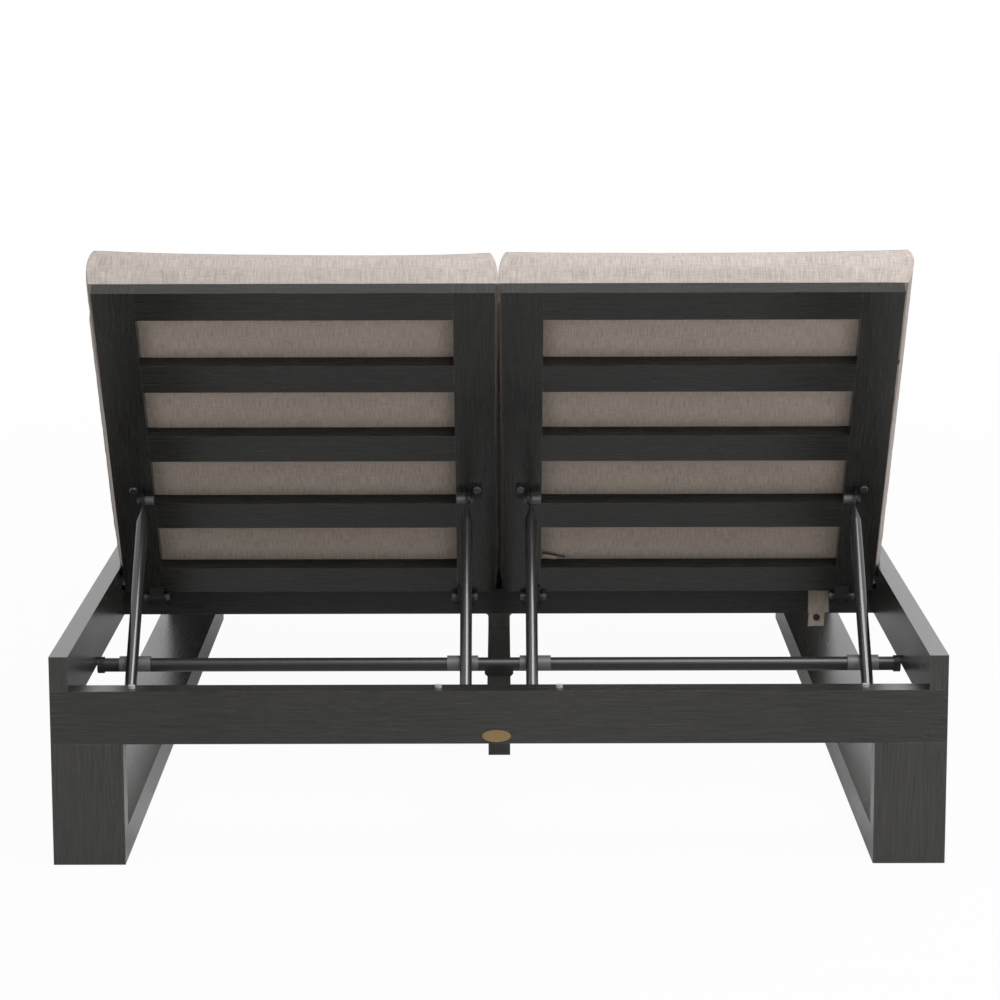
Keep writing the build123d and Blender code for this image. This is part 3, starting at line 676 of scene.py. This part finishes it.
def band(name, place, across, along, width, length, thickness, material, wave=0.0, back=False):
    """A flat strap or flap with rounded, stitched edges: place is its middle top, along runs down it."""
    wide_step, long_step, hem, hem_gap = 0.003, 0.004, 0.001, 0.002
    bends, phase = 2.3, 0.6
    place, across, along = Vector(place), Vector(across).normalized(), Vector(along).normalized()
    out = across.cross(along).normalized()
    us, vs = lines(width, wide_step, hem), lines(length, long_step, hem)
    rest, faces, _ = sewn_box(us, vs, np.array([0.0, thickness]))
    points = []
    for u, v, w in rest:
        sway = wave * math.sin(bends * math.pi * v / length + phase)
        points.append(place + across * (u - width / 2) + along * v + out * (w + sway))
    if back:
        points = turned(np.array(points), -REST)
    obj = made(name, points, faces, material)
    u, v, _ = rest.T
    gap = np.minimum(np.minimum(u, width - u), np.minimum(v, length - v))
    mark(obj, "cloth", "FLOAT_VECTOR", "POINT", rest)
    mark(obj, "seam_gap", "FLOAT", "POINT", gap + hem_gap)
    mark(obj, "panel", "FLOAT", "FACE", [0.0] * len(faces))
    subdivide = obj.modifiers.new("smooth", "SUBSURF")
    subdivide.levels = subdivide.render_levels = 1
    return obj


def ring(name, place, width, height, thickness, material):
    """A thin oval ring that hangs beside a back cushion, drawn with the back lying flat."""
    points, faces = [], []
    round_count, wall_count = 24, 8
    for i in range(round_count):
        a = 2 * math.pi * i / round_count
        for j in range(wall_count):
            b = 2 * math.pi * j / wall_count
            reach = thickness / 2 * math.cos(b)
            x = (width / 2 + reach) * math.sin(a)
            y = (height / 2 + reach) * math.cos(a)
            points.append((place[0] + x, place[1] + y, place[2] + thickness / 2 * math.sin(b)))
            n, m = (i + 1) % round_count, (j + 1) % wall_count
            faces.append((i * wall_count + j, i * wall_count + m, n * wall_count + m, n * wall_count + j))
    return made(name, turned(np.array(points), -REST), faces, material)


# Operators


class LOUNGER_OT_frame(bpy.types.Operator):
    """Gives the frame's members their brushed finish and soft edges"""

    bl_idname = "lounger.frame"
    bl_label = "Frame finish"

    def execute(self, context):
        look = context.scene.lounger_metal
        # Brightness along X, Y and Z, of the beam behind the cushions and of the backs: lighter or darker
        # copies of one finish, painted light and painted shade for how the light falls on them
        painted_light_gains, beam_painted_shade, back_painted_shade = (1.0, 1.2, 1.18), 0.62, 0.91
        runs = {
            0: [
                "rear_rail", "front_rail", "hinge_beam", "seat_beam",
                "left_seat_slats", "right_seat_slats",
            ],
            1: [
                "left_side_rail", "right_side_rail", "left_ground_rail", "right_ground_rail", "centre_beam",
                "left_seat_stiles", "right_seat_stiles",
            ],
            2: [
                "left_rear_leg", "right_rear_leg", "left_front_leg", "right_front_leg",
                "centre_leg", "beam_spacers",
            ],
        }
        for axis, names in runs.items():
            paint(brushed("charcoal_" + "xyz"[axis], axis, gain=painted_light_gains[axis]), *names)
            soften(look.edge, *names)
        # The beam behind the cushions gets a darker copy of the finish: painted shade
        paint(brushed("charcoal_shaded", 0, gain=beam_painted_shade), "hinge_beam")
        # The backs get a slightly darker copy of the finish: painted shade
        for part, axis in (("slats", 0), ("stiles", 1)):
            names = [f"{name}_back_{part}" for name, _ in SIDES]
            paint(brushed(f"charcoal_back_{part}", axis, REST, back_painted_shade), *names)
            soften(look.edge, *names)
        return {"FINISHED"}


class LOUNGER_OT_hardware(bpy.types.Operator):
    """Gives the bar, struts, brackets, screws, caps and the oval plate their finishes"""

    bl_idname = "lounger.hardware"
    bl_label = "Hardware finish"

    def execute(self, context):
        tube = moulded("polished_charcoal", (0.014, 0.014, 0.0145), 0.2, spread=0.3, specular=1.0)
        satin = moulded("satin_charcoal", (0.014, 0.014, 0.014), 0.34, spread=0.3, specular=0.5)
        cast = moulded("cast_charcoal", (0.011, 0.011, 0.011), 0.45, spread=0.3, specular=0.3)
        steel = moulded("fastener_steel", (0.42, 0.42, 0.43), 0.30, metallic=1.0, spread=0.2)
        black = moulded("black_bolt", (0.02, 0.02, 0.02), 0.28, spread=0.2, specular=0.9)
        nylon = moulded("nylon", (0.42, 0.42, 0.46), 0.5, spread=0.12)
        saddle = moulded("saddle_nylon", (0.105, 0.105, 0.113), 0.45, spread=0.15)
        grey = moulded("grey_nylon", (0.085, 0.085, 0.09), 0.45, spread=0.15)
        dim = moulded("dim_nylon", (0.05, 0.05, 0.052), 0.4, spread=0.15)
        plug = moulded("black_plastic", (0.012, 0.012, 0.012), 0.5, spread=0.2)
        brass = moulded("aged_brass", (0.28, 0.19, 0.09), 0.42, metallic=0.85, spread=0.35)
        snap = moulded("snap_metal", (0.008, 0.008, 0.009), 0.25, spread=0.3)
        finishes = {
            satin: ["support_bar"],
            cast: ["bar_cradle", "bar_sockets", "bar_set_screws", "hinge_brackets", "hinge_bracket_screws"],
            steel: ["hinge_pins"],
            saddle: ["bar_saddles"],
            nylon: ["back_bumpers", "seat_pads"],
            dim: ["hinge_pin_caps"],
            brass: ["oval_plate", "plate_rivets"],
            snap: ["strap_snap"],
        }
        paired = {
            cast: ["hinge_lugs", "strut_brackets"],
            black: ["strut_bolts", "bracket_bolts"],
            grey: ["strut_cap_nuts"],
            tube: ["outer_strut", "inner_strut"],
            plug: ["outer_strut_plug", "inner_strut_plug"],
        }
        for material, parts in paired.items():
            both = [f"{name}_{part}" for name, _ in SIDES for part in parts]
            finishes[material] = finishes.get(material, []) + both
        for material, names in finishes.items():
            paint(material, *names)
            soften(0.0, *names)
        return {"FINISHED"}


class LOUNGER_OT_cushions(bpy.types.Operator):
    """Makes the two seat cushions and the two back cushions"""

    bl_idname = "lounger.cushions"
    bl_label = "Cushions"

    def execute(self, context):
        look = context.scene.lounger_cushion
        cloth = woven("cushion_cloth", zip_height=look.zip_height)
        # Each as shaped() takes it: hang, then spread at the free end and along the rest
        even = (0.004, 0.004, 0.001), ((0.002, 0.0, 0.009), (0.002, 0.0, 0.009))
        backs = {
            "left": ((0.0170, 0.0240, 0.0125), ((0.009, 0.002, 0.007), (0.003, 0.001, 0.014))),
            "right": ((0.0190, 0.0220, 0.016), ((0.012, 0.012, 0.011), (0.005, 0.005, 0.017))),
        }
        for name, side in SIDES:
            cushion(f"{name}_seat_pad", side, SEAT_END - FOLD, look, False, *even, cloth, SEAT_SEED + side)
            length = BACK_FOLD - BACK_HIGH
            cushion(f"{name}_back_pad", side, length, look, True, *backs[name], cloth, BACK_SEED + side)
        return {"FINISHED"}


class LOUNGER_OT_trims(bpy.types.Operator):
    """Makes the strap behind the hinge beam, the small flap under a back cushion and the zip's pull"""

    bl_idname = "lounger.trims"
    bl_label = "Strap, flap and zip pull"

    def execute(self, context):
        low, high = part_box("cushion_strap")
        middle = (low.x + high.x) / 2
        width, drop = high.x - low.x, high.z - low.z
        cloth = woven("strap_weave", 0.8, stitch=0.003)
        # The strap ends above its snap, and the snap's flap hangs in front of its end
        strap_share, flap_share, flap_width_share = 0.73, 0.33, 0.76
        thick, behind, before, askew = 0.0009, 0.0004, 0.0006, -0.003
        top = (middle, high.y - behind, high.z)
        strap_size = (width, drop * strap_share)
        strap = band("strap_cloth", top, (1, 0, 0), (0, 0, -1), *strap_size, thick, cloth, wave=0.0002)
        flap_top = (middle + askew, low.y + before, low.z + drop * flap_share)
        flap_size = (width * flap_width_share, drop * flap_share)
        flap = band("strap_flap", flap_top, (1, 0, 0.03), (-0.06, 0, -1), *flap_size, thick, cloth)
        for piece in (strap, flap):
            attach(piece, "base")
        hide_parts("cushion_strap")
        # A small flap and above it a dark strip in the thread's colour, askew on the underside of the right
        # back: the strip is painted shade, standing in for the shadow in the slit above the flap
        thread = moulded("dark_thread", (0.02, 0.018, 0.016), 0.8, spread=0.3)
        label = woven("label_weave", 1.15)
        label_size, shadow_strip_size, label_thick = (0.026, 0.010), (0.046, 0.0036), 0.0008
        way = Vector((0.95, 0.24, 0.0)).normalized()
        down = Vector((-way.y, way.x, 0.0))
        label_top = (0.099, -0.2965, DECK - 0.0062)
        shadow_strip_top = (0.106, -0.2980, DECK - 0.0068)
        tag = band("label_flap", label_top, way, down, *label_size, label_thick, label, back=True)
        # The dark strip is painted shadow above the flap
        line = band("label_shadow_strip", shadow_strip_top, way, down, *shadow_strip_size, label_thick, thread, back=True)
        for piece in (tag, line):
            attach(piece, "right_back")
        pull_place, pull_size = (0.7257, -0.790, DECK - 0.0022), (0.0042, 0.0095, 0.0022)
        pull = ring("zip_pull", pull_place, *pull_size, thread)
        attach(pull, "right_back")
        return {"FINISHED"}


def camera_matrix(look):
    """The camera's own axes from its place, pitch, yaw and roll."""
    level = math.cos(look.pitch)
    forward = Vector((math.sin(look.yaw) * level, math.cos(look.yaw) * level, -math.sin(look.pitch)))
    right = Vector((math.cos(look.yaw), -math.sin(look.yaw), 0))
    up = right.cross(forward)
    right, up = (
        right * math.cos(look.roll) + up * math.sin(look.roll),
        up * math.cos(look.roll) - right * math.sin(look.roll),
    )
    matrix = Matrix((right, up, -forward)).transposed().to_4x4()
    matrix.translation = Vector(look.place)
    return matrix


def shown(graph):
    """1 where the camera sees a surface or the world, and 1 where a reflection or a transmission does."""
    rays = graph.node("ShaderNodeLightPath").outputs
    return rays["Is Camera Ray"], graph.math("MAXIMUM", rays["Is Glossy Ray"], rays["Is Transmission Ray"])


class LOUNGER_OT_stage(bpy.types.Operator):
    """Makes the floor, the lights, the world and the camera"""

    bl_idname = "lounger.stage"
    bl_label = "Studio"

    def execute(self, context):
        scene = context.scene
        look = scene.lounger_stage
        half = look.floor / 2
        points = [(-half, -half, 0), (half, -half, 0), (half, half, 0), (-half, half, 0)]
        g = Graph(bpy.data.materials.new("pale_floor"))
        where, _ = g.point()
        grain = g.noise(where, 40.0)
        darker, lighter = ((value,) * 3 for value in (0.60, 0.64))
        g.set(
            Base_Color=g.blend(g.remap(grain, 0.3, 0.7), darker, lighter),
            Roughness=0.9,
            Specular_IOR_Level=0.1,
        )
        # The floor shows white to the camera, apart from a faint shadow near the lounger
        near, far, near_white, mirrored_white = 1.6, 6.0, 0.96, 0.2
        away = g.node("ShaderNodeVectorMath", {0: where}, operation="LENGTH").outputs["Value"]
        seen, mirrored = shown(g)
        direct = g.math("MULTIPLY", seen, g.remap(away, near, far, near_white, 1.0))
        share = g.add((direct, 1.0), (mirrored, mirrored_white))
        white = g.node("ShaderNodeEmission", {"Color": (1, 1, 1), "Strength": 1.0}).outputs[0]
        both = g.node("ShaderNodeMixShader", {0: share, 1: g.shader.outputs[0], 2: white}).outputs[0]
        g.feed(g.tree.nodes["Material Output"].inputs["Surface"], both)
        floor = made("floor", points, [(0, 1, 2, 3)], g.owner)
        # Each lamp's name, place, aim, size and power
        front_gain, left_gain, right_gain = 1.6, 0.8, 1.5
        for name, place, aim, spread, power in (
            ("key", (1.5, -2.6, 4.2), (0.1, -0.2, 0.5), (3.6, 2.4), look.key),
            ("strip", (0.6, -1.9, 3.5), (0.4, -0.6, 0.3), (0.8, 2.0), look.strip),
            ("front", (0.6, 4.0, 3.4), (0, 0.2, 0.4), (3.5, 2.5), look.fill * front_gain),
            ("left", (-4.2, -2.0, 1.8), (0, 0, 0.5), (1.6, 2.6), look.fill * left_gain),
            ("right", (4.2, -2.4, 1.8), (0, 0, 0.5), (1.6, 2.6), look.fill * right_gain),
        ):
            lamp = bpy.data.lights.new(name, "AREA")
            lamp.shape = "RECTANGLE"
            lamp.size, lamp.size_y = spread
            lamp.energy = power
            obj = bpy.data.objects.new(name, lamp)
            obj.location = place
            obj.rotation_mode = "QUATERNION"
            obj.rotation_quaternion = (Vector(aim) - Vector(place)).to_track_quat("-Z", "Y")
            scene.collection.objects.link(obj)
        air = Graph(bpy.data.worlds.new("studio"), "Background")
        seen = air.math("MAXIMUM", *shown(air))
        air.set(Color=(1, 1, 1), Strength=air.remap(seen, 0.0, 1.0, look.air, 1.0))
        scene.world = air.owner
        scene.view_settings.view_transform = "Standard"
        lens = bpy.data.cameras.new("camera")
        lens.sensor_width = 36.0
        lens.lens = look.lens
        lens.clip_start, lens.clip_end = 0.05, 200.0
        camera = bpy.data.objects.new("camera", lens)
        camera.matrix_world = camera_matrix(look)
        scene.collection.objects.link(camera)
        scene.camera = camera
        return {"FINISHED"}


class LOUNGER_PT_panel(bpy.types.Panel):
    """Lists the steps that dress the lounger"""

    bl_label = "Double chaise lounger"
    bl_idname = "LOUNGER_PT_panel"
    bl_space_type = "VIEW_3D"
    bl_region_type = "UI"
    bl_category = "Lounger"

    def draw(self, context):
        for title, group, operator in STEPS:
            box = self.layout.box()
            box.label(text=title)
            if group:
                settings = getattr(context.scene, group)
                for key in settings.bl_rna.properties.keys():
                    if key not in ("rna_type", "name"):
                        box.prop(settings, key)
            box.operator(operator)


STEPS = (
    ("Frame", "lounger_metal", "lounger.frame"),
    ("Hardware", "", "lounger.hardware"),
    ("Cushions", "lounger_cushion", "lounger.cushions"),
    ("Cloth and trims", "lounger_cloth", "lounger.trims"),
    ("Studio", "lounger_stage", "lounger.stage"),
)
GROUPS = {
    "lounger_metal": LOUNGER_PG_metal,
    "lounger_cloth": LOUNGER_PG_cloth,
    "lounger_cushion": LOUNGER_PG_cushion,
    "lounger_stage": LOUNGER_PG_stage,
}
CLASSES = (
    *GROUPS.values(),
    LOUNGER_OT_frame,
    LOUNGER_OT_hardware,
    LOUNGER_OT_cushions,
    LOUNGER_OT_trims,
    LOUNGER_OT_stage,
    LOUNGER_PT_panel,
)


def register():
    for made_class in CLASSES:
        bpy.utils.register_class(made_class)
    for name, group in GROUPS.items():
        setattr(bpy.types.Scene, name, bpy.props.PointerProperty(type=group))


def unregister():
    for name in GROUPS:
        delattr(bpy.types.Scene, name)
    for made_class in reversed(CLASSES):
        bpy.utils.unregister_class(made_class)


def main():
    """Runs every step."""
    register()
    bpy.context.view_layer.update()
    bpy.ops.lounger.stage()
    bpy.ops.lounger.frame()
    bpy.ops.lounger.hardware()
    bpy.ops.lounger.cushions()
    bpy.ops.lounger.trims()


if __name__ == "__main__":
    main()
